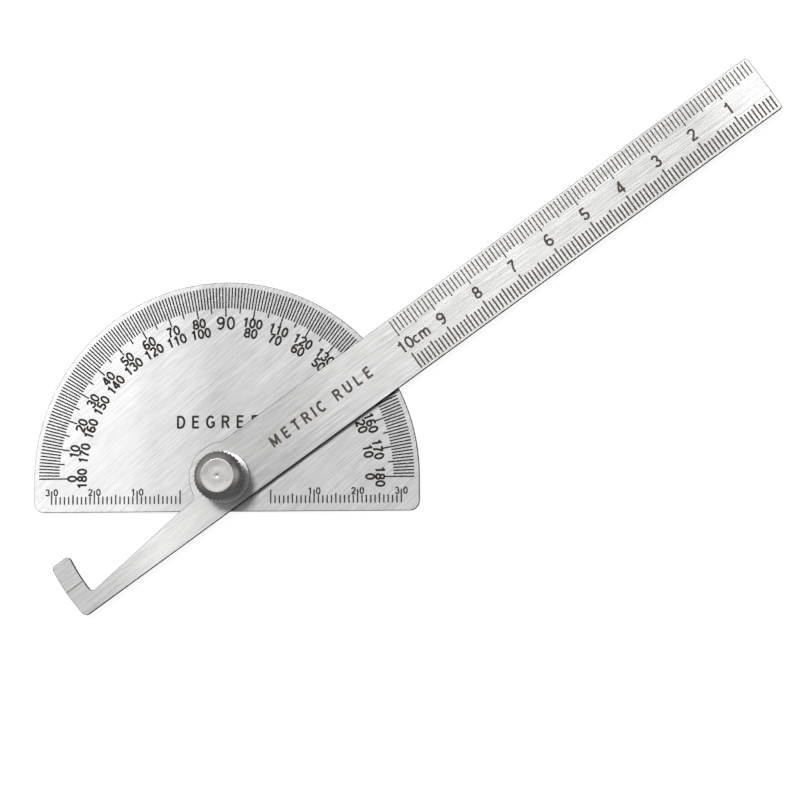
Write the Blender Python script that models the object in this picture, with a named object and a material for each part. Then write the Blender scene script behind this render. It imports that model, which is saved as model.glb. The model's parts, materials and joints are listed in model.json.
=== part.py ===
"""Protractor with a swinging ruler arm, clamped by a knurled thumb nut.

The tool lies on its back: +Z is up, the pivot is the Z axis, and the back of the half-round head is z = 0.
The head's base edge runs along X, below the pivot, and its 90 degree mark points to +Y.
From the bottom up, the stack is head, ruler arm, flat washer, knurled nut. A stud pressed into the head from
behind carries the other three.
"""
import math

import bpy
import bmesh
from mathutils import Vector

MM = 0.001

# Running gap between two pieces that lie on each other, and radial clearance of a turning fit.
STACK_GAP = 0.1 * MM
RUNNING_CLEARANCE = 0.06 * MM

# Head: a half disc on a strip that reaches below the pivot.
HEAD_RADIUS = 44.6 * MM
HEAD_BASE_DROP = 7.7 * MM
HEAD_CORNER = 2.2 * MM
HEAD_THICKNESS = 1.0 * MM

# Ruler arm, measured along (x) and across (y) the arm from the pivot.
ARM_REST_ANGLE = math.radians(35.5)
ARM_WIDTH = 14.0 * MM
ARM_LENGTH = 151.2 * MM
ARM_THICKNESS = 1.2 * MM
ARM_END_CORNER = 0.9 * MM
LOBE_RADIUS = 8.2 * MM
LOBE_BLEND = 1.2 * MM
TAIL_TOP_AT_LOBE = 0.2 * MM
TAIL_TOP_AT_POINTER = -3.3 * MM
TAIL_BLEND = 1.0 * MM

# Pointer at the arm's tail: a band that follows the rim of the head.
POINTER_INNER = 40.2 * MM
POINTER_OUTER = 45.0 * MM
POINTER_TIP = 6.7 * MM
POINTER_TIP_CORNER = 1.0 * MM
POINTER_HEEL_CORNER = 1.2 * MM

PLATE_EDGE_BEVEL = 0.12 * MM

# Stud: flush head in a counterbore, serrated neck in the plate, bearing for the arm, M4 thread.
STUD_HEAD_RADIUS = 4.4 * MM
STUD_HEAD_THICKNESS = 0.42 * MM
STUD_NECK_RADIUS = 2.9 * MM
STUD_SERRATIONS = 24
STUD_SERRATION_DEPTH = 0.2 * MM
STUD_BEARING_RADIUS = 2.6 * MM
STUD_RELIEF_RADIUS = 1.45 * MM
STUD_RELIEF_LENGTH = 0.5 * MM
STUD_TIP_CHAMFER = 0.45 * MM
THREAD_PITCH = 0.7 * MM
THREAD_CREST = 1.95 * MM
THREAD_ROOT = 1.55 * MM
THREAD_CLEARANCE = 0.1 * MM
THREAD_COLUMNS = 28

# Washer.
WASHER_RADIUS = 6.0 * MM
WASHER_HOLE_RADIUS = 2.15 * MM
WASHER_THICKNESS = 0.7 * MM
WASHER_EDGE = 0.12 * MM

# Thumb nut: collar, knurled band that widens upwards, rounded shoulder, flat top.
NUT_HEIGHT = 7.6 * MM
NUT_COLLAR_RADIUS = 3.5 * MM
NUT_COLLAR_HEIGHT = 1.6 * MM
NUT_FOOT_RADIUS = 4.75 * MM
NUT_RIM_RADIUS = 5.65 * MM
NUT_SHOULDER_HEIGHT = 1.55 * MM
NUT_TOP_RADIUS = 3.7 * MM
NUT_EDGE = 0.15 * MM
KNURL_TEETH = 36
KNURL_DEPTH = 0.35 * MM
NUT_BORE_DEPTH = 5.9 * MM
NUT_MOUTH_RADIUS = 2.35 * MM
STUD_ENGAGEMENT = 5.2 * MM

# The stack, from the back of the head upwards.
ARM_Z = HEAD_THICKNESS + STACK_GAP
WASHER_Z = ARM_Z + ARM_THICKNESS + STACK_GAP
NUT_Z = WASHER_Z + WASHER_THICKNESS + STACK_GAP
STUD_TOP_Z = NUT_Z + STUD_ENGAGEMENT


def clear_scene():
    for item in list(bpy.data.objects):
        bpy.data.objects.remove(item, do_unlink=True)


def metal(name, colour, roughness):
    """Principled metal in one colour."""
    material = bpy.data.materials.new(name)
    material.use_nodes = True
    shader = material.node_tree.nodes["Principled BSDF"]
    shader.inputs["Base Color"].default_value = (*colour, 1.0)
    shader.inputs["Roughness"].default_value = roughness
    shader.inputs["Metallic"].default_value = 1.0
    return material


def add_object(name, bm, material=None):
    """Turn a bmesh into a smooth-shaded object with its flat faces kept crisp."""
    bmesh.ops.recalc_face_normals(bm, faces=bm.faces)
    mesh = bpy.data.meshes.new(name)
    bm.to_mesh(mesh)
    bm.free()
    mesh.shade_smooth()
    mesh.set_sharp_from_angle(angle=math.radians(30.0))
    if material:
        mesh.materials.append(material)
    piece = bpy.data.objects.new(name, mesh)
    bpy.context.scene.collection.objects.link(piece)
    return piece


def as_helper(piece):
    piece.hide_render = True
    piece.display_type = "WIRE"
    return piece


def combine(piece, helper, operation):
    modifier = piece.modifiers.new(helper.name, "BOOLEAN")
    modifier.operation = operation
    modifier.solver = "EXACT"
    modifier.object = helper


# Outlines ---------------------------------------------------------------------------------------------------

def polar(radius, angle):
    return Vector((radius * math.cos(angle), radius * math.sin(angle)))


def heading(vector):
    return math.atan2(vector.y, vector.x)


def arc(centre, radius, start, end, step_deg):
    """Points along an arc, both ends included. It runs clockwise when end is below start."""
    count = max(2, math.ceil(abs(math.degrees(end - start)) / step_deg))
    return [centre + polar(radius, start + (end - start) * i / count) for i in range(count + 1)]


def on_circle(point, direction, radius):
    """Where a ray from the point leaves the circle of this radius about the pivot."""
    along = point.dot(direction)
    nearest = point.dot(point) - along * along
    return point + direction * (math.sqrt(radius * radius - nearest) - along)


def head_outline():
    """Counter-clockwise from the right end of the base edge."""
    corner = HEAD_CORNER
    side = HEAD_RADIUS - corner
    low = corner - HEAD_BASE_DROP
    quarter = math.pi / 2
    return (
        arc(Vector((side, low)), corner, -quarter, 0.0, 15.0)
        + arc(Vector((0.0, 0.0)), HEAD_RADIUS, 0.0, math.pi, 1.5)
        + arc(Vector((-side, low)), corner, math.pi, 3 * quarter, 15.0)
    )


def arm_outline():
    """Counter-clockwise from the lower corner of the ruler's end, round the lobe, tail and pointer."""
    pivot = Vector((0.0, 0.0))
    quarter = math.pi / 2
    half = ARM_WIDTH / 2
    left = Vector((-1.0, 0.0))

    corner_x = ARM_LENGTH - ARM_END_CORNER
    corner_y = half - ARM_END_CORNER
    points = arc(Vector((corner_x, -corner_y)), ARM_END_CORNER, -quarter, 0.0, 15.0)
    points += arc(Vector((corner_x, corner_y)), ARM_END_CORNER, 0.0, quarter, 15.0)

    # The lobe bulges past the upper edge only, with a hollow blend on each side.
    blend = on_circle(Vector((0.0, half + LOBE_BLEND)), -left, LOBE_RADIUS + LOBE_BLEND)
    lobe_start = heading(blend)
    points += arc(blend, LOBE_BLEND, -quarter, lobe_start - math.pi, 10.0)
    tail_start = Vector((-LOBE_RADIUS, TAIL_TOP_AT_LOBE))
    tail_end = Vector((-POINTER_INNER, TAIL_TOP_AT_POINTER))
    tail = (tail_end - tail_start).normalized()
    tail_up = Vector((tail.y, -tail.x))
    tail_down = heading(-tail_up)
    blend = on_circle(tail_start + tail_up * TAIL_BLEND, tail, LOBE_RADIUS + TAIL_BLEND)
    points += arc(pivot, LOBE_RADIUS, lobe_start, heading(blend), 4.0)
    points += arc(blend, TAIL_BLEND, heading(-blend), tail_down, 15.0)

    # The pointer: inner curve up to the tip, outer curve back down to the heel.
    blend = on_circle(tail_start + tail_up * TAIL_BLEND, tail, POINTER_INNER - TAIL_BLEND)
    inner_start = heading(blend) % math.tau
    points += arc(blend, TAIL_BLEND, tail_down + math.tau, inner_start, 15.0)
    tip_y = POINTER_TIP - POINTER_TIP_CORNER
    tip = on_circle(Vector((0.0, tip_y)), left, POINTER_INNER + POINTER_TIP_CORNER)
    points += arc(pivot, POINTER_INNER, inner_start, heading(tip), 1.5)
    points += arc(tip, POINTER_TIP_CORNER, heading(-tip), quarter, 15.0)
    tip = on_circle(Vector((0.0, tip_y)), left, POINTER_OUTER - POINTER_TIP_CORNER)
    points += arc(tip, POINTER_TIP_CORNER, quarter, heading(tip), 15.0)
    heel = on_circle(Vector((0.0, POINTER_HEEL_CORNER - half)), left, POINTER_OUTER - POINTER_HEEL_CORNER)
    heel_start = heading(heel) % math.tau
    points += arc(pivot, POINTER_OUTER, heading(tip), heel_start, 1.5)
    points += arc(heel, POINTER_HEEL_CORNER, heel_start, 3 * quarter, 15.0)
    return points


# Solids -----------------------------------------------------------------------------------------------------

def plate(name, outline, z, thickness, material):
    """A stamped plate with its rim edges broken."""
    bm = bmesh.new()
    rim = [bm.verts.new((point.x, point.y, z)) for point in outline]
    bmesh.ops.remove_doubles(bm, verts=rim, dist=0.001 * MM)
    face = bm.faces.new(list(bm.verts))
    raised = bmesh.ops.extrude_face_region(bm, geom=[face])
    moved = [item for item in raised["geom"] if isinstance(item, bmesh.types.BMVert)]
    bmesh.ops.translate(bm, verts=moved, vec=(0.0, 0.0, thickness))
    piece = add_object(name, bm, material)
    bevel = piece.modifiers.new("edge break", "BEVEL")
    bevel.width = PLATE_EDGE_BEVEL
    bevel.segments = 2
    bevel.limit_method = "ANGLE"
    bevel.angle_limit = math.radians(50.0)
    return piece


def turned(name, profile, columns, material=None):
    """A solid of revolution about Z. The profile runs from axis to axis as (radius, z, groove depth);
    every second column is drawn in by the groove depth, which cuts teeth or serrations."""
    bm = bmesh.new()
    rings = []
    for radius, z, groove in profile:
        if radius == 0.0:
            rings.append([bm.verts.new((0.0, 0.0, z))])
            continue
        ring = []
        for column in range(columns):
            spoke = polar(radius - groove * (column % 2), math.tau * column / columns)
            ring.append(bm.verts.new((spoke.x, spoke.y, z)))
        rings.append(ring)
    for lower, upper in zip(rings, rings[1:]):
        for column in range(columns):
            following = (column + 1) % columns
            corners = [
                lower[column % len(lower)],
                lower[following % len(lower)],
                upper[following % len(upper)],
                upper[column % len(upper)],
            ]
            bm.faces.new(list(dict.fromkeys(corners)))
    return add_object(name, bm, material)


def smooth(profile):
    return [(radius, z, 0.0) for radius, z in profile]


def cylinder(name, radius, low, high, columns):
    return as_helper(turned(name, smooth([(0.0, low), (radius, low), (radius, high), (0.0, high)]), columns))


def helical_rod(name, root, crest, low, high):
    """A right-hand thread of flat crests and roots. It runs past low and high, for another solid to trim.
    Every rod counts its turns from z = 0, so that two of them are in mesh."""
    # Along one pitch: root flat, rising flank, crest flat, falling flank.
    steps = [(0.0, root), (0.2, root), (0.5, crest), (0.7, crest)]
    turns = math.ceil((high - low) / THREAD_PITCH) + 5
    start = (math.floor(low / THREAD_PITCH) - 2) * THREAD_PITCH
    bm = bmesh.new()
    grid = []
    for turn in range(turns):
        for share, radius in steps:
            row = []
            for column in range(THREAD_COLUMNS):
                part = column / THREAD_COLUMNS
                spoke = polar(radius, math.tau * part)
                row.append(bm.verts.new((spoke.x, spoke.y, start + (turn + share + part) * THREAD_PITCH)))
            grid.append(row)
    # After the last column a row goes on as the row one pitch above.
    rise = len(steps)
    for row in range(len(grid) - rise - 1):
        for column in range(THREAD_COLUMNS):
            wraps = column + 1 == THREAD_COLUMNS
            following = 0 if wraps else column + 1
            shift = rise if wraps else 0
            bm.faces.new((
                grid[row][column],
                grid[row + shift][following],
                grid[row + shift + 1][following],
                grid[row + 1][column],
            ))
    unused = [vert for vert in bm.verts if not vert.link_faces]
    bmesh.ops.delete(bm, geom=unused, context="VERTS")
    # Each open end is one turn of the helix and the step back down: close it as a fan about the axis.
    halfway = (low + high) / 2
    open_edges = [edge for edge in bm.edges if edge.is_boundary]
    for hub_z in (start - THREAD_PITCH, start + (turns + 1) * THREAD_PITCH):
        hub = bm.verts.new((0.0, 0.0, hub_z))
        for edge in open_edges:
            if (edge.verts[0].co.z < halfway) == (hub_z < halfway):
                bm.faces.new((*edge.verts, hub))
    return as_helper(add_object(name, bm))


# Pieces -----------------------------------------------------------------------------------------------------

def make_head():
    """Half-round plate with a hole for the stud's neck and a counterbore for its head."""
    steel = metal("head steel", (0.72, 0.72, 0.71), 0.32)
    head = plate("protractor_head", head_outline(), 0.0, HEAD_THICKNESS, steel)
    hole_radius = STUD_NECK_RADIUS + STACK_GAP
    counterbore_radius = STUD_HEAD_RADIUS + STACK_GAP
    counterbore_depth = STUD_HEAD_THICKNESS + STACK_GAP
    margin = 1.0 * MM
    hole = cylinder("neck_hole_cutter", hole_radius, -margin, HEAD_THICKNESS + margin, 48)
    combine(head, hole, "DIFFERENCE")
    counterbore = cylinder("counterbore_cutter", counterbore_radius, -margin, counterbore_depth, 64)
    combine(head, counterbore, "DIFFERENCE")


def make_arm():
    """Ruler arm, drawn along its own X axis and turned to its rest angle about the pivot."""
    steel = metal("arm steel", (0.76, 0.76, 0.75), 0.28)
    arm = plate("ruler_arm", arm_outline(), ARM_Z, ARM_THICKNESS, steel)
    hole_radius = STUD_BEARING_RADIUS + RUNNING_CLEARANCE
    margin = 1.0 * MM
    hole = cylinder("pivot_hole_cutter", hole_radius, ARM_Z - margin, ARM_Z + ARM_THICKNESS + margin, 48)
    combine(arm, hole, "DIFFERENCE")
    arm.rotation_euler.z = ARM_REST_ANGLE
    hole.parent = arm


def make_stud():
    """Stud with a flush head, a serrated neck that grips the plate, and a thread for the nut."""
    bearing_top = ARM_Z + ARM_THICKNESS - STACK_GAP
    thread_start = bearing_top + STUD_RELIEF_LENGTH
    bite = STUD_SERRATION_DEPTH
    profile = [
        (0.0, 0.0, 0.0),
        (STUD_HEAD_RADIUS, 0.0, 0.0),
        (STUD_HEAD_RADIUS, STUD_HEAD_THICKNESS, 0.0),
        (STUD_NECK_RADIUS, STUD_HEAD_THICKNESS, bite),
        (STUD_NECK_RADIUS, HEAD_THICKNESS, bite),
        (STUD_BEARING_RADIUS, HEAD_THICKNESS, 0.0),
        (STUD_BEARING_RADIUS, bearing_top, 0.0),
        (STUD_RELIEF_RADIUS, bearing_top, 0.0),
        (STUD_RELIEF_RADIUS, thread_start + THREAD_PITCH, 0.0),
        (0.0, thread_start + THREAD_PITCH, 0.0),
    ]
    stud = turned("pivot_stud", profile, 2 * STUD_SERRATIONS, metal("stud steel", (0.58, 0.58, 0.57), 0.35))

    thread = helical_rod("stud_thread", THREAD_ROOT, THREAD_CREST, thread_start, STUD_TOP_Z)
    waist = THREAD_CREST + STACK_GAP
    blank = as_helper(turned("stud_thread_blank", smooth([
        (0.0, thread_start),
        (THREAD_ROOT, thread_start),
        (waist, thread_start + waist - THREAD_ROOT),
        (waist, STUD_TOP_Z - STUD_TIP_CHAMFER),
        (waist - STUD_TIP_CHAMFER, STUD_TOP_Z),
        (0.0, STUD_TOP_Z),
    ]), 32))
    combine(thread, blank, "INTERSECT")
    combine(stud, thread, "UNION")


def make_washer():
    """Flat ring with its edges broken."""
    inner = WASHER_HOLE_RADIUS
    outer = WASHER_RADIUS
    edge = WASHER_EDGE
    top = WASHER_THICKNESS
    section = [
        (inner, edge), (inner + edge, 0.0), (outer - edge, 0.0), (outer, edge),
        (outer, top - edge), (outer - edge, top), (inner + edge, top), (inner, top - edge),
    ]
    columns = 64
    bm = bmesh.new()
    rings = []
    for column in range(columns):
        angle = math.tau * column / columns
        spokes = [(polar(radius, angle), WASHER_Z + z) for radius, z in section]
        rings.append([bm.verts.new((spoke.x, spoke.y, z)) for spoke, z in spokes])
    for index, ring in enumerate(rings):
        following = rings[(index + 1) % columns]
        for corner in range(len(section)):
            after = (corner + 1) % len(section)
            bm.faces.new((ring[corner], following[corner], following[after], ring[after]))
    add_object("flat_washer", bm, metal("zinc plate", (0.55, 0.57, 0.58), 0.35))


def make_nut():
    """Blind thumb nut on the same thread as the stud."""
    knurl_top = NUT_HEIGHT - NUT_SHOULDER_HEIGHT
    profile = [
        (0.0, 0.0, 0.0),
        (NUT_COLLAR_RADIUS - NUT_EDGE, 0.0, 0.0),
        (NUT_COLLAR_RADIUS, NUT_EDGE, 0.0),
        (NUT_COLLAR_RADIUS, NUT_COLLAR_HEIGHT, 0.0),
        (NUT_FOOT_RADIUS - NUT_EDGE, NUT_COLLAR_HEIGHT, KNURL_DEPTH / 2),
        (NUT_FOOT_RADIUS, NUT_COLLAR_HEIGHT + NUT_EDGE, KNURL_DEPTH),
        (NUT_RIM_RADIUS, knurl_top - 2 * NUT_EDGE, KNURL_DEPTH),
        (NUT_RIM_RADIUS, knurl_top - NUT_EDGE, 0.0),
    ]
    # The shoulder is a parabola on its side: upright at the rim, with a crisp edge at the flat top.
    rounds = 6
    for step in range(rounds + 1):
        rise = step / rounds
        radius = NUT_RIM_RADIUS - (NUT_RIM_RADIUS - NUT_TOP_RADIUS) * rise ** 2
        profile.append((radius, knurl_top + NUT_SHOULDER_HEIGHT * rise, 0.0))
    profile.append((0.0, NUT_HEIGHT, 0.0))
    raised = [(radius, NUT_Z + z, groove) for radius, z, groove in profile]
    nut = turned("knurled_nut", raised, 2 * KNURL_TEETH, metal("nut steel", (0.52, 0.52, 0.51), 0.25))

    bore_top = NUT_Z + NUT_BORE_DEPTH
    root = THREAD_ROOT + THREAD_CLEARANCE
    crest = THREAD_CREST + THREAD_CLEARANCE
    thread = helical_rod("nut_thread", root, crest, NUT_Z, bore_top)
    drill = as_helper(turned("nut_thread_blank", smooth([
        (0.0, NUT_Z - STACK_GAP),
        (NUT_MOUTH_RADIUS, NUT_Z - STACK_GAP),
        (NUT_MOUTH_RADIUS, bore_top - NUT_EDGE),
        (0.0, bore_top),
    ]), 32))
    combine(thread, drill, "INTERSECT")
    combine(nut, thread, "DIFFERENCE")
    mouth = as_helper(turned("nut_mouth_cutter", smooth([
        (0.0, NUT_Z - STACK_GAP),
        (NUT_MOUTH_RADIUS + STACK_GAP, NUT_Z - STACK_GAP),
        (root, NUT_Z + NUT_MOUTH_RADIUS - root),
        (0.0, NUT_Z + NUT_MOUTH_RADIUS - root),
    ]), 40))
    combine(nut, mouth, "DIFFERENCE")


clear_scene()
make_head()
make_arm()
make_stud()
make_washer()
make_nut()
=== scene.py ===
import json
import math

import bpy
import bmesh
from mathutils import Matrix, Vector
from mathutils.geometry import delaunay_2d_cdt


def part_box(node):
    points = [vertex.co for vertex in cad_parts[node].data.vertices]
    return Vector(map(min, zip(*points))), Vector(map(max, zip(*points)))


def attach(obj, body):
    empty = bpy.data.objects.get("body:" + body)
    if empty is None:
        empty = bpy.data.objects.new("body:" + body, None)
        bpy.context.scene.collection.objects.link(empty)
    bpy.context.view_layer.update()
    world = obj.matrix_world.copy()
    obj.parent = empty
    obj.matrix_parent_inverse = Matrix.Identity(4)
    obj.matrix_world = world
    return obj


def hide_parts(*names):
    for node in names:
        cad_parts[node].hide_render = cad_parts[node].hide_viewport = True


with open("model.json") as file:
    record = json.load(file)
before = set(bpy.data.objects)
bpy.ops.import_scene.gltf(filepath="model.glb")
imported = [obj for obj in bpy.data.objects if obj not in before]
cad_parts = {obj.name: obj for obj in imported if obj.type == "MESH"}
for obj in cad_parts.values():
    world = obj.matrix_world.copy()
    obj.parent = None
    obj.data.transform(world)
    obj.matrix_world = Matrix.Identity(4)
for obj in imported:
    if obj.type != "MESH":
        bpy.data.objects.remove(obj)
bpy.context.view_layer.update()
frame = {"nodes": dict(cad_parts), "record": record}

MM = 0.001
QUARTER = math.pi / 2

# Places read from the frame, in millimetres.
NODES = frame["nodes"]
MOUNTS = {mount["name"]: mount for mount in frame["record"]["mounts"]}
edge_axis = MOUNTS["ruler_edge"]["axis"]
ARM_ANGLE = math.atan2(edge_axis[1], edge_axis[0]) + QUARTER
ARM_TURN = Matrix.Rotation(ARM_ANGLE, 2)
ALONG_ARM = Vector((math.cos(ARM_ANGLE), math.sin(ARM_ANGLE), 0.0))
RULER_END = max(vertex.co.dot(ALONG_ARM) for vertex in NODES["ruler_arm"].data.vertices) / MM
HEAD_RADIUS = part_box("protractor_head")[1].x / MM
BASE_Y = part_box("protractor_head")[0].y / MM

ETCH_DEPTH = 0.03
# Points closer than this are one point, and faces within it of a height lie at that height.
WELD = 0.001 * MM
# The triangulation's choice of triangles inside the given polygons.
INSIDE_TRIANGLES = 1


# Strokes ------------------------------------------------------------------------------------------
# A mark is a list of quads in the plane, in millimetres. Strokes are ribbons of quads.

# The largest turn between two points of a curve, in degrees, and how far a sharp corner may reach out.
BOW_STEP = 18.0
MITRE_LIMIT = 0.6
CLOSED_WITHIN = 1e-9


def bow(x, y, width, height, start, end):
    """Points along part of an ellipse, from one angle to another in degrees, both ends included."""
    count = max(2, math.ceil(abs(end - start) / BOW_STEP))
    angles = [math.radians(start + (end - start) * step / count) for step in range(count + 1)]
    return [(x + width * math.cos(angle), y + height * math.sin(angle)) for angle in angles]


def loop(x, y, width, height):
    """A whole ellipse. Its repeated last point marks it as closed."""
    return bow(x, y, width, height, 90.0, 450.0)


def turned_over(strokes):
    """Half a turn about the middle of the figure."""
    return [[(-x, 1.0 - y) for x, y in stroke] for stroke in strokes]


SIX = [loop(0.0, 0.305, 0.24, 0.23), bow(0.03, 0.45, 0.27, 0.475, 55.0, 197.0)]

# Figures and letters, one unit high and centred on x = 0, each as the centre lines of its strokes.
GLYPHS = {
    "0": [loop(0.0, 0.5, 0.24, 0.425)],
    "1": [[(0.06, 0.0), (0.06, 1.0)], [(-0.19, 0.73), (0.02, 0.84), (0.06, 0.97)]],
    "2": [bow(0.0, 0.70, 0.24, 0.225, 172.0, -30.0) + [(-0.20, 0.11)], [(-0.27, 0.075), (0.27, 0.075)]],
    "3": [bow(-0.01, 0.71, 0.205, 0.215, 165.0, -90.0), bow(0.0, 0.29, 0.245, 0.215, 90.0, -165.0)],
    "4": [[(0.11, 0.0), (0.11, 1.0)], [(0.08, 0.93), (-0.26, 0.30)], [(-0.31, 0.27), (0.29, 0.27)]],
    "5": [[(-0.20, 0.925), (0.23, 0.925)], [(-0.15, 0.95), (-0.21, 0.46)],
          bow(0.0, 0.305, 0.24, 0.235, 140.0, -162.0)],
    "6": SIX,
    "7": [[(-0.26, 0.925), (0.27, 0.925)], [(0.22, 0.90), (0.06, 0.62), (-0.04, 0.32), (-0.08, 0.0)]],
    "8": [loop(0.0, 0.715, 0.20, 0.21), loop(0.0, 0.29, 0.245, 0.215)],
    "9": turned_over(SIX),
    "C": [bow(0.0, 0.5, 0.29, 0.43, 45.0, 315.0)],
    "D": [[(-0.24, 0.0), (-0.24, 1.0)],
          [(-0.24, 0.93)] + bow(-0.03, 0.5, 0.30, 0.43, 90.0, -90.0) + [(-0.24, 0.07)]],
    "E": [[(-0.22, 0.0), (-0.22, 1.0)], [(-0.22, 0.93), (0.25, 0.93)], [(-0.22, 0.52), (0.20, 0.52)],
          [(-0.22, 0.07), (0.26, 0.07)]],
    "G": [bow(0.0, 0.5, 0.29, 0.43, 42.0, 325.0), [(0.26, 0.12), (0.26, 0.49)],
          [(0.33, 0.46), (0.03, 0.46)]],
    "I": [[(0.0, 0.0), (0.0, 1.0)]],
    "L": [[(-0.20, 0.0), (-0.20, 1.0)], [(-0.20, 0.07), (0.26, 0.07)]],
    "M": [[(-0.32, 0.0), (-0.32, 1.0)], [(0.32, 0.0), (0.32, 1.0)], [(-0.31, 0.97), (0.02, 0.10)],
          [(0.31, 0.97), (-0.02, 0.10)]],
    "R": [[(-0.23, 0.0), (-0.23, 1.0)],
          [(-0.23, 0.93)] + bow(0.02, 0.715, 0.21, 0.215, 90.0, -90.0) + [(-0.23, 0.50)],
          [(0.04, 0.50), (0.27, 0.0)]],
    "S": [bow(0.0, 0.7225, 0.22, 0.2075, 25.0, 270.0)
          + bow(0.0, 0.2925, 0.245, 0.2225, 90.0, -155.0)[1:]],
    "T": [[(-0.30, 0.93), (0.30, 0.93)], [(0.0, 0.0), (0.0, 0.93)]],
    "U": [[(-0.25, 1.0)] + bow(0.0, 0.33, 0.25, 0.26, 180.0, 360.0) + [(0.25, 1.0)]],
    "c": [bow(0.0, 0.36, 0.23, 0.29, 45.0, 315.0)],
    "m": [[(-0.38, 0.0), (-0.38, 0.72)], bow(-0.19, 0.46, 0.19, 0.19, 180.0, 0.0) + [(0.0, 0.0)],
          bow(0.19, 0.46, 0.19, 0.19, 180.0, 0.0) + [(0.38, 0.0)]],
}
ADVANCES = {"I": 0.5, "M": 1.2, "m": 1.35, " ": 0.6}


def ribbon(points, width):
    """Quads along a line of points, mitred at its corners, with square ends or closed on itself."""
    points = [Vector(point) for point in points]
    closed = (points[0] - points[-1]).length < CLOSED_WITHIN
    if closed:
        points = points[:-1]
    count = len(points)
    sides = []
    for index, point in enumerate(points):
        arriving = point - points[index - 1] if closed or index else points[1] - points[0]
        leaving = points[(index + 1) % count] - point if closed or index + 1 < count else arriving
        arriving = arriving.normalized()
        across = (arriving + leaving.normalized()).normalized()
        across = Vector((-across.y, across.x))
        reach = width / 2 / max(across.dot(Vector((-arriving.y, arriving.x))), MITRE_LIMIT)
        sides.append((point + across * reach, point - across * reach))
    last = count if closed else count - 1
    return [(*sides[index], *reversed(sides[(index + 1) % count])) for index in range(last)]


def line(start, end, width):
    return ribbon([start, end], width)


def moved(quads, at, angle=0.0):
    turn = Matrix.Rotation(angle, 2)
    return [tuple(turn @ corner + Vector(at) for corner in quad) for quad in quads]


def glyph(character, height, weight):
    """One character, centred on the origin. Weight is the stroke's width in millimetres."""
    quads = []
    for stroke in GLYPHS[character]:
        quads += ribbon([(x * height, (y - 0.5) * height) for x, y in stroke], weight)
    return quads


def lettering(words, height, pitch, weight):
    """A line of characters, centred on the origin."""
    advances = [pitch * ADVANCES.get(character, 1.0) for character in words]
    x = -sum(advances) / 2
    quads = []
    for character, advance in zip(words, advances):
        if character != " ":
            quads += moved(glyph(character, height, weight), (x + advance / 2, 0.0))
        x += advance
    return quads


# Degree plate marks, in the plate's own millimetres about the pivot -------------------------------

DEGREE_OUTER = HEAD_RADIUS - 1.1
DEGREE_INNER = {1: HEAD_RADIUS - 5.9, 5: HEAD_RADIUS - 7.0, 10: HEAD_RADIUS - 7.8}
DEGREE_WIDTH = 0.33
OUTER_FIGURES_RADIUS = 35.7
INNER_FIGURES_RADIUS = 33.4
NINETY_RADIUS = INNER_FIGURES_RADIUS + 1.9
FIGURE = {"height": 2.25, "pitch": 1.60, "weight": 0.48}
NINETY = {"height": 3.05, "pitch": 2.35, "weight": 0.48}
BASE_SCALE_START = 10.5
BASE_SCALE_LENGTH = 30
BASE_TICK_WIDTH = 0.33
BASE_TICK_FOOT = BASE_Y + 1.8
BASE_TICK_TOP = {1: BASE_Y + 3.6, 5: BASE_Y + 4.0, 10: BASE_Y + 4.9}
BASE_FIGURE = {"height": 1.6, "weight": 0.32}
BASE_FIGURE_Y = BASE_Y + 4.55
# The two digits stand on either side of their tick.
BASE_FIGURE_OFFSETS = (-0.95, 0.95)
HEAD_WORD = {"height": 2.9, "pitch": 3.45, "weight": 0.50}
HEAD_WORD_Y = 12.75


def step_class(value):
    """Which of the three tick lengths a division gets."""
    return next(step for step in (10, 5, 1) if value % step == 0)


def radial(quads, degree, radius):
    """Marks standing on a radius, tops outward. Degrees run clockwise from the base line's left end."""
    direction = math.radians(180.0 - degree)
    at = (radius * math.cos(direction), radius * math.sin(direction))
    return moved(quads, at, direction - QUARTER)


def head_marks():
    quads = []
    for degree in range(181):
        inner = DEGREE_INNER[step_class(degree)]
        quads += radial(line((0.0, inner), (0.0, DEGREE_OUTER), DEGREE_WIDTH), degree, 0.0)
    for degree in range(0, 181, 10):
        if degree == 90:
            quads += radial(lettering("90", **NINETY), degree, NINETY_RADIUS)
            continue
        quads += radial(lettering(str(degree), **FIGURE), degree, OUTER_FIGURES_RADIUS)
        quads += radial(lettering(str(180 - degree), **FIGURE), degree, INNER_FIGURES_RADIUS)
    for side in (-1, 1):
        for division in range(BASE_SCALE_LENGTH + 1):
            x = side * (BASE_SCALE_START + division)
            quads += line((x, BASE_TICK_FOOT), (x, BASE_TICK_TOP[step_class(division)]), BASE_TICK_WIDTH)
            if division and division % 10 == 0:
                for character, offset in zip(str(division), BASE_FIGURE_OFFSETS):
                    quads += moved(glyph(character, **BASE_FIGURE), (x + offset, BASE_FIGURE_Y))
    quads += moved(lettering("DEGREES", **HEAD_WORD), (0.0, HEAD_WORD_Y))
    return {"dark etch": quads}


# Arm marks, along (x) and across (y) the arm from the pivot ---------------------------------------

RULER_DIVISIONS = 100
UPPER_TICK_START = 6.5
LOWER_TICK_START = -6.4
UPPER_TICK_WIDTH = 0.30
LOWER_TICK_WIDTH = 0.40
RULER_TICK = {1: 3.2, 5: 3.75, 10: 4.1}
ARM_FIGURE = {"height": 2.9, "pitch": 2.05, "weight": 0.50}
# The unit stands between the figures 10 and 9, on their base line.
UNIT = {"height": 2.7, "pitch": 1.9, "weight": 0.48}
UNIT_OFFSET = 4.1
ARM_WORDS = {"height": 2.6, "pitch": 2.85, "weight": 0.52}
ARM_WORDS_CENTRE = 27.3
POINTER_LINE = (-44.85, -40.35)
POINTER_LINE_WIDTH = 0.16


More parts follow.
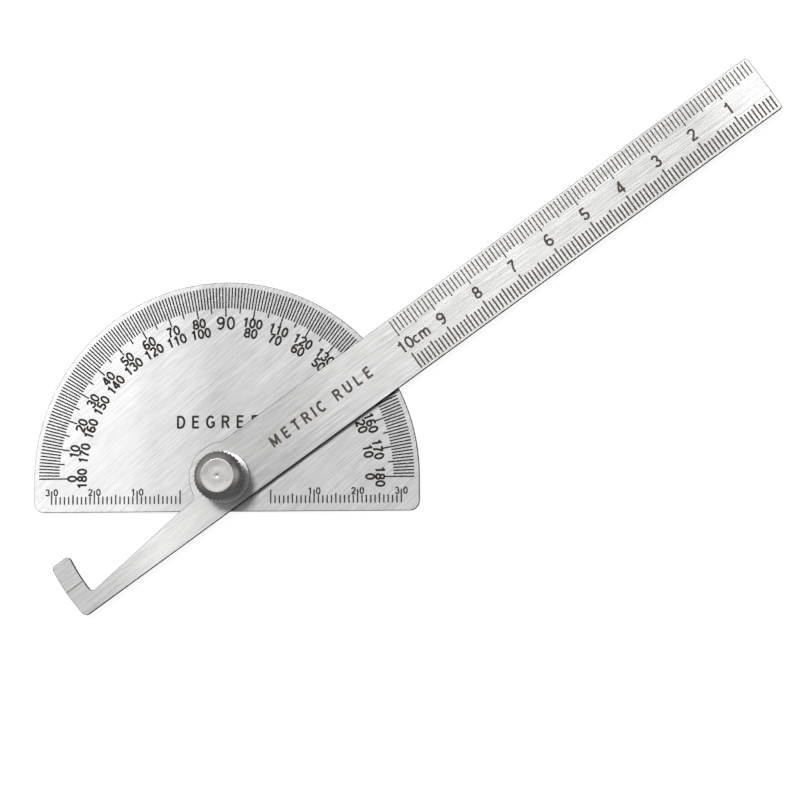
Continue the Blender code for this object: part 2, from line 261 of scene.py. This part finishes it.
def arm_marks():
    fine = []
    bold = []
    for division in range(1, RULER_DIVISIONS + 1):
        x = RULER_END - division
        length = RULER_TICK[step_class(division)]
        fine += line((x, UPPER_TICK_START), (x, UPPER_TICK_START - length), UPPER_TICK_WIDTH)
        bold += line((x, LOWER_TICK_START), (x, LOWER_TICK_START + length), LOWER_TICK_WIDTH)
        if division % 10 == 0:
            bold += moved(lettering(str(division // 10), **ARM_FIGURE), (x, 0.0))
    bold += moved(lettering("cm", **UNIT), (RULER_END - RULER_DIVISIONS + UNIT_OFFSET, 0.0))
    bold += moved(lettering("METRIC RULE", **ARM_WORDS), (ARM_WORDS_CENTRE, 0.0))
    bold += line((POINTER_LINE[0], 0.0), (POINTER_LINE[1], 0.0), POINTER_LINE_WIDTH)
    turned = {}
    for name, quads in (("fine etch", fine), ("brown etch", bold)):
        turned[name] = [tuple(ARM_TURN @ corner for corner in quad) for quad in quads]
    return turned


# Plates -------------------------------------------------------------------------------------------

def edge_loops(edges):
    """Vertices of each closed loop, in order."""
    beside = {}
    for edge in edges:
        first, second = edge.verts
        beside.setdefault(first, []).append(second)
        beside.setdefault(second, []).append(first)
    loops = []
    unused = set(beside)
    while unused:
        start = min(unused, key=lambda vert: vert.index)
        chain = [start]
        unused.discard(start)
        while True:
            ahead = [vert for vert in beside[chain[-1]] if vert in unused]
            if not ahead:
                break
            chain.append(ahead[0])
            unused.discard(ahead[0])
        loops.append(chain)
    return sorted(loops, key=lambda chain: -max(vert.co.length for vert in chain))


def counter_clockwise(points):
    """Whether the polygon's corners run counter-clockwise."""
    return sum(one.cross(two) for one, two in zip(points, points[1:] + points[:1])) > 0.0


def add_polygon(points, polygons, corners):
    """Append a polygon for the triangulation, which wants its corners counter-clockwise."""
    order = list(range(len(points), len(points) + len(corners)))
    polygons.append(order if counter_clockwise(corners) else order[::-1])
    points += corners


# Material slots of a plate. The etches follow in the order of the marks.
FINISH_SLOT, SIDE_SLOT, FIRST_ETCH_SLOT = range(3)
# How close two points of the triangulation may lie, in millimetres.
PLATE_MERGE = 1e-5
# How upright a face's normal is, from 0 to 1. The sides and broken edges lie below the first number,
# and the level faces above the second.
SIDE_UPRIGHT = 0.9
LEVEL_UPRIGHT = 0.99


def etched_plate(name, node, marks, finish, side_finish, etch_finishes):
    """The CAD plate with its top face cut again round the marks, which are sunk into it."""
    bm = bmesh.new()
    bm.from_mesh(NODES[node].data)
    bmesh.ops.remove_doubles(bm, verts=bm.verts, dist=WELD)
    top = max(vert.co.z for vert in bm.verts)
    flat = [face for face in bm.faces if min(vert.co.z for vert in face.verts) > top - WELD]
    bmesh.ops.delete(bm, geom=flat, context="FACES")
    bm.verts.index_update()
    loops = edge_loops([edge for edge in bm.edges if edge.is_boundary])

    points = []
    polygons = []
    rim = []
    for chain in loops:
        add_polygon(points, polygons, [vert.co.to_2d() / MM for vert in chain])
        rim += chain
    kinds = [None] * len(polygons)
    for kind, quads in enumerate(marks.values()):
        for quad in quads:
            add_polygon(points, polygons, list(quad))
            kinds.append(kind)
    flat_points, _, triangles, point_sources, _, triangle_sources = delaunay_2d_cdt(
        points, [], polygons, INSIDE_TRIANGLES, PLATE_MERGE, True)

    holes = set(range(1, len(loops)))
    bottom = top - ETCH_DEPTH * MM
    high = {}
    low = {}

    def upper(index):
        if index not in high:
            sources = [source for source in point_sources[index] if source < len(rim)]
            x, y = flat_points[index] * MM
            high[index] = rim[sources[0]] if sources else bm.verts.new((x, y, top))
        return high[index]

    def lower(index):
        if index not in low:
            x, y = flat_points[index] * MM
            low[index] = bm.verts.new((x, y, bottom))
        return low[index]

    # Material slots of the triangles on both sides of each edge.
    borders = {}
    for triangle, sources in zip(triangles, triangle_sources):
        if 0 not in sources or holes.intersection(sources):
            continue
        found = [kinds[source] for source in sources if kinds[source] is not None]
        pick = lower if found else upper
        face = bm.faces.new([pick(index) for index in triangle])
        slot = FIRST_ETCH_SLOT + max(found) if found else FINISH_SLOT
        face.material_index = slot
        for start, end in zip(triangle, triangle[1:] + triangle[:1]):
            borders.setdefault((min(start, end), max(start, end)), []).append(slot)
    for (start, end), slots in borders.items():
        if len(slots) == 2 and FINISH_SLOT in slots and max(slots) != FINISH_SLOT:
            wall = bm.faces.new([upper(start), upper(end), lower(end), lower(start)])
            wall.material_index = max(slots)
    bmesh.ops.recalc_face_normals(bm, faces=bm.faces)
    # Faces that go deeper than the etch belong to the plate's outline, not to a mark.
    for face in bm.faces:
        upright = abs(face.normal.z)
        deep = min(vert.co.z for vert in face.verts) < bottom - WELD
        if face.material_index == FINISH_SLOT and upright < SIDE_UPRIGHT and deep:
            face.material_index = SIDE_SLOT
        face.smooth = deep and upright < LEVEL_UPRIGHT
    mesh = bpy.data.meshes.new(name)
    bm.to_mesh(mesh)
    bm.free()
    for material in (finish, side_finish, *(etch_finishes[key] for key in marks)):
        mesh.materials.append(material)
    piece = bpy.data.objects.new(name, mesh)
    bpy.context.scene.collection.objects.link(piece)
    return piece


# Turned pieces ------------------------------------------------------------------------------------

def turned_mesh(profile, columns, closed=False):
    """A surface of revolution about Z from (radius, z, groove) points in millimetres. Groove is None or a
    function of the angle that draws the surface in. A closed profile joins its last point to its first."""
    bm = bmesh.new()
    rings = []
    for radius, z, groove in profile:
        if radius == 0.0:
            rings.append([bm.verts.new((0.0, 0.0, z * MM))])
            continue
        ring = []
        for column in range(columns):
            angle = math.tau * column / columns
            reach = (radius - (groove(angle) if groove else 0.0)) * MM
            ring.append(bm.verts.new((reach * math.cos(angle), reach * math.sin(angle), z * MM)))
        rings.append(ring)
    pairs = list(zip(rings, rings[1:]))
    if closed:
        pairs.append((rings[-1], rings[0]))
    for inner, outer in pairs:
        for column in range(columns):
            after = (column + 1) % columns
            corners = [inner[column % len(inner)], inner[after % len(inner)],
                       outer[after % len(outer)], outer[column % len(outer)]]
            bm.faces.new(list(dict.fromkeys(corners)))
    return bm


def finished(name, bm, material, sharp):
    """A smooth-shaded object from the mesh, sharp where faces meet at more than sharp degrees."""
    bmesh.ops.recalc_face_normals(bm, faces=bm.faces)
    mesh = bpy.data.meshes.new(name)
    bm.to_mesh(mesh)
    bm.free()
    mesh.shade_smooth()
    mesh.set_sharp_from_angle(angle=math.radians(sharp))
    mesh.materials.append(material)
    piece = bpy.data.objects.new(name, mesh)
    bpy.context.scene.collection.objects.link(piece)
    return piece


NUT_LOW, NUT_HIGH = (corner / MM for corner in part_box("knurled_nut"))
# Radii of the nut from its collar up, and the heights of its collar and shoulder.
NUT_COLLAR = 3.5
NUT_FOOT = 4.75
NUT_RIM = NUT_HIGH.x
NUT_TOP_FLAT = 3.9
NUT_COLLAR_TOP = 1.6
NUT_SHOULDER = 1.55
# Broken edges, and the upright band between the taper and the shoulder.
NUT_BREAK = 0.15
NUT_BREAK_MIDDLE = 0.3
NUT_FILLET = 0.1
NUT_FOOT_FLAT = 0.45
NUT_FOOT_BREAK = (0.12, 0.04)
NUT_EDGE = 0.05
NUT_RIM_BAND = 0.35
TAPER_STEPS = 8
SHOULDER_STEPS = 24
# The turned face, as radii and depths below the top: a rounded edge, two faint steps and the dimple left
# by the lathe's centre.
NUT_FACE = (
    (NUT_TOP_FLAT - 0.06, 0.01), (NUT_TOP_FLAT - 0.14, 0.0), (NUT_TOP_FLAT - 0.22, 0.0),
    (3.1, 0.002), (2.9, 0.010), (1.6, 0.010), (1.45, 0.006),
    (0.66, 0.006), (0.56, 0.010), (0.20, 0.012), (0.12, 0.040), (0.0, 0.048),
)
KNURL_TEETH = 36
KNURL_DEPTH = 0.36
# Shares: of a tooth taken by its valley, of the depth where the knurl starts, and of the shoulder over
# which it runs out.
KNURL_VALLEY = 0.6
KNURL_START = 0.6
KNURL_RUN_OUT = 0.45
KNURL_CURVE = 0.8
COLUMNS_PER_TOOTH = 14
# Faces of the CAD nut that reach beyond this radius, or face up above this height, are its outside.
BORE_MOUTH = 2.45
BORE_REACH = (NUT_COLLAR + BORE_MOUTH) / 2
BORE_TOP = 7.0
FACES_UP = 0.5
NUT_MERGE = 1e-6
NUT_SHARP = 32.0

WASHER_HOLE = 2.15
WASHER_ROUNDING = 0.14
WASHER_CRISP = 0.04
WASHER_COLUMNS = 180
WASHER_SHARP = 35.0


def knurl(depth):
    """Broad crests with a narrow valley between them."""
    def groove(angle):
        across = (angle * KNURL_TEETH / math.tau) % 1.0
        from_valley = abs(across - 0.5) * 2.0
        return depth * max(0.0, 1.0 - from_valley / KNURL_VALLEY) ** KNURL_CURVE
    return groove


def nut_outline():
    """From the collar's foot up the collar, the knurled taper and the shoulder to the centre dimple."""
    base = NUT_LOW.z
    height = NUT_HIGH.z - base
    band_top = height - NUT_SHOULDER
    taper_foot = NUT_COLLAR_TOP + NUT_BREAK
    taper_top = band_top - NUT_RIM_BAND
    inset, lift = NUT_FOOT_BREAK
    outline = [
        (NUT_COLLAR - NUT_BREAK, 0.0, None),
        (NUT_COLLAR - NUT_BREAK * NUT_BREAK_MIDDLE, NUT_BREAK * NUT_BREAK_MIDDLE, None),
        (NUT_COLLAR, NUT_BREAK, None),
        (NUT_COLLAR, NUT_COLLAR_TOP - NUT_FILLET, None),
        (NUT_COLLAR + NUT_FILLET, NUT_COLLAR_TOP, None),
        (NUT_FOOT - NUT_FOOT_FLAT, NUT_COLLAR_TOP, None),
        (NUT_FOOT - inset, NUT_COLLAR_TOP + lift, knurl(KNURL_DEPTH * KNURL_START)),
    ]
    for step in range(TAPER_STEPS + 1):
        share = step / TAPER_STEPS
        z = taper_foot + (taper_top - taper_foot) * share
        outline.append((NUT_FOOT + (NUT_RIM - NUT_FOOT) * share, z, knurl(KNURL_DEPTH)))
    for step in range(SHOULDER_STEPS + 1):
        # A parabola lying on its side: upright at the rim, and meeting the flat top at a crisp edge.
        rise = step / SHOULDER_STEPS
        radius = NUT_RIM - (NUT_RIM - NUT_TOP_FLAT) * rise ** 2
        # The knurl runs out a little way up the shoulder.
        depth = KNURL_DEPTH * max(0.0, 1.0 - rise / KNURL_RUN_OUT)
        groove = knurl(depth) if depth else None
        outline.append((radius, band_top + (NUT_SHOULDER - NUT_EDGE) * rise, groove))
    outline += [(radius, height - drop, None) for radius, drop in NUT_FACE]
    return [(radius, base + z, groove) for radius, z, groove in outline]


def make_nut(material):
    """A fine outside on the CAD nut's own threaded bore, joined by a ring at the collar's foot."""
    bm = turned_mesh(nut_outline(), KNURL_TEETH * COLUMNS_PER_TOOTH)

    bore = bmesh.new()
    bore.from_mesh(NODES["knurled_nut"].data)
    bmesh.ops.remove_doubles(bore, verts=bore.verts, dist=WELD)
    outside = []
    for face in bore.faces:
        reach = max(vert.co.to_2d().length for vert in face.verts)
        above = face.calc_center_median().z > (NUT_LOW.z + BORE_TOP) * MM
        if reach > BORE_REACH * MM or (face.normal.z > FACES_UP and above):
            outside.append(face)
    bmesh.ops.delete(bore, geom=outside, context="FACES")
    scratch = bpy.data.meshes.new("bore")
    bore.to_mesh(scratch)
    bore.free()
    bm.from_mesh(scratch)
    bpy.data.meshes.remove(scratch)
    bm.verts.index_update()
    loops = edge_loops([edge for edge in bm.edges if edge.is_boundary])
    rim = [vert for chain in loops for vert in chain]
    points = []
    polygons = []
    for chain in loops:
        add_polygon(points, polygons, [vert.co.to_2d() / MM for vert in chain])
    _, _, triangles, sources, _, triangle_sources = delaunay_2d_cdt(
        points, [], polygons, INSIDE_TRIANGLES, NUT_MERGE, True)
    for triangle, inside in zip(triangles, triangle_sources):
        if list(inside) == [0]:
            bm.faces.new([rim[sources[index][0]] for index in triangle])
    return finished("thumb_nut", bm, material, NUT_SHARP)


def make_washer(material):
    """A blanked washer: one rounded and one crisp edge on each rim."""
    low, high = (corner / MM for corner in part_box("flat_washer"))
    section = []
    for radius, inward, z, upward, rounding, start in (
        (high.x, -1, low.z, 1, WASHER_CRISP, -90.0),
        (high.x, -1, high.z, -1, WASHER_ROUNDING, 0.0),
        (WASHER_HOLE, 1, high.z, -1, WASHER_ROUNDING, 90.0),
        (WASHER_HOLE, 1, low.z, 1, WASHER_CRISP, 180.0),
    ):
        centre = (radius + inward * rounding, z + upward * rounding)
        section += [(*point, None) for point in bow(*centre, rounding, rounding, start, start + 90.0)]
    bm = turned_mesh(section, WASHER_COLUMNS, closed=True)
    return finished("plain_washer", bm, material, WASHER_SHARP)


# Materials ----------------------------------------------------------------------------------------

class Graph:
    """Short names for the shader nodes used here."""

    def __init__(self, tree):
        self.nodes = tree.nodes
        self.links = tree.links

    def math(self, operation, first, second=None):
        node = self.nodes.new("ShaderNodeMath")
        node.operation = operation
        for socket, value in zip(node.inputs, (first, second)):
            if isinstance(value, (int, float)):
                socket.default_value = value
            elif value is not None:
                self.links.new(value, socket)
        return node.outputs[0]

    def ranged(self, value, low, high, start=0.3, end=0.7):
        """Value as it goes from start to end, spread smoothly from low to high."""
        node = self.nodes.new("ShaderNodeMapRange")
        node.interpolation_type = "SMOOTHSTEP"
        for socket, number in zip(list(node.inputs)[1:5], (start, end, low, high)):
            socket.default_value = number
        self.links.new(value, node.inputs[0])
        return node.outputs[0]

    def mixed(self, share, first, second):
        """Numbers mixed by a share from 0 to 1."""
        node = self.nodes.new("ShaderNodeMix")
        self.links.new(share, node.inputs[0])
        for socket, value in zip((node.inputs[2], node.inputs[3]), (first, second)):
            if isinstance(value, (int, float)):
                socket.default_value = value
            else:
                self.links.new(value, socket)
        return node.outputs[0]

    def blend(self, first, first_share, second, second_share):
        """The sum of two values, each with its share."""
        first = self.math("MULTIPLY", first, first_share)
        return self.math("ADD", first, self.math("MULTIPLY", second, second_share))

    def split(self, vector):
        node = self.nodes.new("ShaderNodeSeparateXYZ")
        self.links.new(vector, node.inputs[0])
        return node.outputs


class Finish(Graph):
    """A Principled material with helpers for its procedural inputs."""

    def __init__(self, name, metallic=1.0, roughness=0.35):
        self.material = bpy.data.materials.new(name)
        self.material.use_nodes = True
        super().__init__(self.material.node_tree)
        self.shader = self.nodes["Principled BSDF"]
        self.shader.inputs["Metallic"].default_value = metallic
        self.shader.inputs["Roughness"].default_value = roughness
        self.place = self.nodes.new("ShaderNodeTexCoord").outputs["Object"]

    def turned(self, angle):
        """The place, turned about Z so that X runs along the grain."""
        node = self.nodes.new("ShaderNodeMapping")
        node.inputs["Rotation"].default_value = (0.0, 0.0, -angle)
        self.links.new(self.place, node.inputs["Vector"])
        return node.outputs[0]

    def noise(self, place, sizes, detail=2.0):
        """Noise whose features are sizes millimetres long on each axis."""
        node = self.nodes.new("ShaderNodeMapping")
        node.inputs["Scale"].default_value = [1.0 / (size * MM) for size in sizes]
        self.links.new(place, node.inputs["Vector"])
        texture = self.nodes.new("ShaderNodeTexNoise")
        texture.inputs["Scale"].default_value = 1.0
        texture.inputs["Detail"].default_value = detail
        self.links.new(node.outputs[0], texture.inputs["Vector"])
        return texture.outputs[0]

    def drift(self, value, stops):
        """Painted sheen and shade: a slow change of brightness from stop to stop, each a (millimetres,
        share) pair.
        """
        low = stops[0][0]
        span = stops[-1][0] - low
        node = self.nodes.new("ShaderNodeValToRGB")
        node.color_ramp.interpolation = "EASE"
        elements = node.color_ramp.elements
        while len(elements) < len(stops):
            elements.new(1.0)
        for element, (place, share) in zip(elements, stops):
            element.position = (place - low) / span
            element.color = (share, share, share, 1.0)
        share = self.math("DIVIDE", self.math("SUBTRACT", value, low * MM), span * MM)
        self.links.new(share, node.inputs[0])
        return node.outputs[0]

    def colour(self, value, dark, light):
        node = self.nodes.new("ShaderNodeMix")
        node.data_type = "RGBA"
        self.links.new(value, node.inputs["Factor"])
        node.inputs[6].default_value = (*dark, 1.0)
        node.inputs[7].default_value = (*light, 1.0)
        self.links.new(node.outputs[2], self.shader.inputs["Base Color"])

    def rough(self, value):
        self.links.new(value, self.shader.inputs["Roughness"])

    def bump(self, height, depth):
        """Relief this many millimetres deep."""
        node = self.nodes.new("ShaderNodeBump")
        node.inputs["Strength"].default_value = 1.0
        node.inputs["Distance"].default_value = depth * MM
        self.links.new(height, node.inputs["Height"])
        self.links.new(node.outputs[0], self.shader.inputs["Normal"])


def scaled(colour, factor):
    return tuple(channel * factor for channel in colour)


# The grain's share of the brushed steel's tone. The rest is painted sheen and shade, a slow drift of
# brightness along one direction.
GRAIN_SHARE = 0.25


def brushed_steel(name, colour, grain_angle, sheen_and_shade_angle, sheen_and_shade_stops):
    """Satin sheet steel with a straight grain of short scratches, and painted sheen and shade: its
    brightness drifts along one direction, standing in for the light the sheet reflects."""
    finish = Finish(name)
    grain = finish.turned(grain_angle)
    scratches = finish.noise(grain, (4.0, 0.13, 4.0))
    lines = finish.noise(grain, (15.0, 0.18, 9.0), detail=1.0)
    clouds = finish.noise(finish.place, (7.0, 7.0, 7.0))
    streaks = finish.blend(scratches, 0.5, lines, 0.5)
    mottle = finish.blend(streaks, 0.94, clouds, 0.06)
    # Painted sheen and shade: a slow ramp of brightness along one direction, mixed into the base colour
    # with the grain.
    drift = finish.drift(finish.split(finish.turned(sheen_and_shade_angle))[0], sheen_and_shade_stops)
    spread = finish.ranged(mottle, 0.0, 1.0, 0.36, 0.64)
    tone = finish.blend(spread, GRAIN_SHARE, drift, 1.0 - GRAIN_SHARE)
    finish.colour(tone, scaled(colour, 0.4), colour)
    finish.rough(finish.ranged(streaks, 0.50, 0.40))
    finish.bump(streaks, 0.008)
    return finish.material


def sheared_steel(name, colour):
    """The cut edge of a plate, with fine lines across its thickness. It is duller than the face, as cut
    steel is, and darkened further into painted shade: near black even at a grazing angle, standing in for
    the shadow line along the plates' edges.
    """
    finish = Finish(name, roughness=0.5)
    finish.shader.inputs["Specular Tint"].default_value = (0.1, 0.1, 0.1, 1.0)
    lines = finish.noise(finish.place, (0.12, 0.12, 3.0))
    finish.colour(finish.ranged(lines, 0.0, 1.0), scaled(colour, 0.6), scaled(colour, 1.5))
    finish.rough(finish.ranged(lines, 0.6, 0.4))
    finish.bump(lines, 0.01)
    return finish.material


def etched(name, dark, light):
    """Oxide left by the etching: dull, uneven, with metal showing through in specks."""
    finish = Finish(name, metallic=0.0, roughness=0.7)
    finish.shader.inputs["Specular IOR Level"].default_value = 0.2
    specks = finish.noise(finish.place, (0.12, 0.12, 0.12), detail=4.0)
    patches = finish.noise(finish.place, (1.1, 1.1, 1.1))
    cover = finish.blend(specks, 0.65, patches, 0.35)
    finish.colour(finish.ranged(cover, 0.0, 1.0, 0.38, 0.66), dark, light)
    finish.rough(finish.ranged(specks, 0.8, 0.6))
    finish.bump(specks, 0.01)
    return finish.material


# Width of a lathe's tool mark, in millimetres.
TOOL_MARK = 0.2


def lathe_turned(name, colour, roughness, contrast):
    """Concentric tool marks about the Z axis, with a little handling wear."""
    finish = Finish(name, roughness=roughness)
    split = finish.split(finish.place)
    squares = [finish.math("MULTIPLY", split[axis], split[axis]) for axis in (0, 1)]
    radius = finish.math("SQRT", finish.math("ADD", *squares))
    join = finish.nodes.new("ShaderNodeCombineXYZ")
    finish.links.new(radius, join.inputs[0])
    finish.links.new(split[2], join.inputs[2])
    rings = finish.noise(join.outputs[0], (TOOL_MARK, 1.0, TOOL_MARK))
    wear = finish.noise(finish.place, (1.4, 1.4, 1.4), detail=4.0)
    tone = finish.blend(rings, 0.55, wear, 0.45)
    dark, light = scaled(colour, 1.0 - contrast), scaled(colour, 1.0 + contrast)
    finish.colour(finish.ranged(tone, 0.0, 1.0), dark, light)
    finish.rough(finish.ranged(wear, roughness - 0.05, roughness + 0.08))
    finish.bump(rings, 0.0008)
    return finish.material


def zinc_plate(name, colour):
    """Bluish plated steel with fine random scratches."""
    finish = Finish(name, roughness=0.38)
    mottle = finish.noise(finish.place, (0.5, 0.5, 0.5), detail=4.0)
    scratches = finish.noise(finish.turned(0.9), (1.6, 0.08, 1.0))
    tone = finish.blend(mottle, 0.6, scratches, 0.4)
    finish.colour(finish.ranged(tone, 0.0, 1.0), scaled(colour, 0.85), scaled(colour, 1.12))
    finish.rough(finish.ranged(mottle, 0.46, 0.32))
    finish.bump(scratches, 0.005)
    return finish.material


# The object ---------------------------------------------------------------------------------------

HEAD_GRAIN = math.radians(40.0)
# Painted sheen and shade: brightness from left to right across the degree plate, and from the tail's end
# to the ruler's, darkest on the arm beside the nut.
HEAD_PAINTED_SHEEN_AND_SHADE = [(-45.0, 1.0), (-24.0, 0.89), (-15.0, 0.60), (0.0, 0.27), (45.0, 0.30)]
ARM_PAINTED_SHEEN_AND_SHADE = [
    (-42.0, 0.38), (-20.0, 0.88), (10.0, 0.15), (43.0, 0.50), (72.0, 0.64), (100.0, 0.55), (130.0, 0.42),
    (151.0, 0.95)]
HEAD_STEEL = (0.89, 0.89, 0.89)
ARM_STEEL = (0.86, 0.855, 0.85)
# Painted shade: the cut edges are near black, standing in for the shadow line along the plates' edges.
CUT_STEEL_AND_PAINTED_SHADE = (0.04, 0.04, 0.04)
ZINC = (0.66, 0.67, 0.68)
NUT_STEEL = (0.50, 0.485, 0.475)
STUD_STEEL = (0.58, 0.58, 0.57)
TURNED_ROUGHNESS = 0.32
ETCHES = {
    "dark etch": etched("dark_etch", (0.030, 0.023, 0.020), (0.10, 0.082, 0.072)),
    "brown etch": etched("brown_etch", (0.105, 0.084, 0.072), (0.29, 0.25, 0.218)),
    "fine etch": etched("fine_etch", (0.11, 0.097, 0.087), (0.30, 0.27, 0.25)),
}
# The cut edges' material, named sheared_edge, carries painted shade as well as the cut steel's look.
sheared_and_shaded = sheared_steel("sheared_edge", CUT_STEEL_AND_PAINTED_SHADE)

degree_plate = etched_plate(
    "degree_plate", "protractor_head", head_marks(),
    brushed_steel("head_steel", HEAD_STEEL, HEAD_GRAIN, 0.0, HEAD_PAINTED_SHEEN_AND_SHADE), sheared_and_shaded, ETCHES)
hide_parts("protractor_head")
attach(degree_plate, "head")

ruler = etched_plate(
    "ruler", "ruler_arm", arm_marks(),
    brushed_steel("arm_steel", ARM_STEEL, ARM_ANGLE, ARM_ANGLE, ARM_PAINTED_SHEEN_AND_SHADE), sheared_and_shaded, ETCHES)
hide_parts("ruler_arm")
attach(ruler, "arm")

washer = make_washer(zinc_plate("zinc_plate", ZINC))
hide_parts("flat_washer")
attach(washer, "washer")

nut = make_nut(lathe_turned("nut_steel_turned", NUT_STEEL, TURNED_ROUGHNESS, contrast=0.06))
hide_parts("knurled_nut")
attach(nut, "nut")

stud_finish = lathe_turned("stud_steel_turned", STUD_STEEL, TURNED_ROUGHNESS, contrast=0.12)
stud = NODES["pivot_stud"]
stud.data.materials.clear()
stud.data.materials.append(stud_finish)


# Stage, light and camera --------------------------------------------------------------------------

# Half the floor's side in metres, its place below the object in millimetres, its grey and its glow.
FLOOR_REACH = 3.0
FLOOR_Z = -0.3
FLOOR_GREY = 0.3
FLOOR_GLOW = 0.9
# Where each glow of the room comes from, the angles from there at which it starts to fade and is gone,
# and its strength.
GLOWS = (
    # Overhead and to the upper left: a broad soft one, and a small strong one that casts the shadows.
    ((-0.30, 0.24, 0.92), 24.0, 46.0, 0.25),
    ((-0.20, 0.34, 0.92), 4.0, 8.0, 22.0),
    # On the left and the right.
    ((-0.82, 0.0, 0.57), 8.0, 26.0, 0.45),
    ((0.62, 0.10, 0.77), 8.0, 24.0, 0.7),
    # Low and broad, from beyond the round edge and from the base line's side.
    ((-0.5, 0.75, 0.35), 10.0, 80.0, 0.24),
    ((0.0, -0.92, 0.38), 10.0, 75.0, 0.09),
)
ROOM_LEVEL = 0.07
# The camera, in millimetres.
CAMERA_PLACE = (176.8, -47.8, 893.7)
CAMERA_AIM = (40.4, 17.2, 2.3)
SENSOR_WIDTH = 36.0
FOCAL_LENGTH = 180.0


def glowing_floor():
    """A light table. It glows only for the camera, so that it doesn't lighten the edges of the metal."""
    mesh = bpy.data.meshes.new("floor")
    reach = FLOOR_REACH
    corners = [(-reach, -reach, 0.0), (reach, -reach, 0.0), (reach, reach, 0.0), (-reach, reach, 0.0)]
    mesh.from_pydata(corners, [], [(0, 1, 2, 3)])
    material = bpy.data.materials.new("floor")
    material.use_nodes = True
    graph = Graph(material.node_tree)
    shader = graph.nodes["Principled BSDF"]
    shader.inputs["Base Color"].default_value = (FLOOR_GREY, FLOOR_GREY, FLOOR_GREY, 1.0)
    shader.inputs["Roughness"].default_value = 1.0
    shader.inputs["Emission Color"].default_value = (1.0, 1.0, 1.0, 1.0)
    seen = graph.nodes.new("ShaderNodeLightPath").outputs["Is Camera Ray"]
    graph.links.new(graph.mixed(seen, 0.0, FLOOR_GLOW), shader.inputs["Emission Strength"])
    mesh.materials.append(material)
    floor = bpy.data.objects.new("floor", mesh)
    floor.location.z = FLOOR_Z * MM
    bpy.context.scene.collection.objects.link(floor)


def studio_world():
    """Glows in a dark room, which lights the object. The camera itself sees white instead."""
    world = bpy.data.worlds.new("studio")
    bpy.context.scene.world = world
    world.use_nodes = True
    graph = Graph(world.node_tree)
    direction = graph.nodes.new("ShaderNodeTexCoord").outputs["Generated"]
    level = ROOM_LEVEL
    for toward, narrow, wide, strength in GLOWS:
        node = graph.nodes.new("ShaderNodeVectorMath")
        node.operation = "DOT_PRODUCT"
        node.inputs[1].default_value = Vector(toward).normalized()
        graph.links.new(direction, node.inputs[0])
        angles = (math.cos(math.radians(wide)), math.cos(math.radians(narrow)))
        glow = graph.ranged(node.outputs["Value"], 0.0, strength, *angles)
        level = graph.math("ADD", glow, level)
    seen = graph.nodes.new("ShaderNodeLightPath").outputs["Is Camera Ray"]
    graph.links.new(graph.mixed(seen, level, 1.0), graph.nodes["Background"].inputs["Strength"])
    graph.nodes["Background"].inputs["Color"].default_value = (1.0, 1.0, 1.0, 1.0)


def photo_camera():
    """Far off and a little to the lower right, which shows that side of the nut."""
    at = Vector(CAMERA_PLACE) * MM
    aim = Vector(CAMERA_AIM) * MM
    data = bpy.data.cameras.new("camera")
    data.sensor_width = SENSOR_WIDTH
    data.lens = FOCAL_LENGTH
    camera = bpy.data.objects.new("camera", data)
    back = (at - aim).normalized()
    right = Vector((0.0, 1.0, 0.0)).cross(back).normalized()
    camera.matrix_world = Matrix((right, back.cross(right), back)).transposed().to_4x4()
    camera.location = at
    bpy.context.scene.collection.objects.link(camera)
    bpy.context.scene.camera = camera


glowing_floor()
studio_world()
photo_camera()
bpy.context.scene.view_settings.view_transform = "Standard"
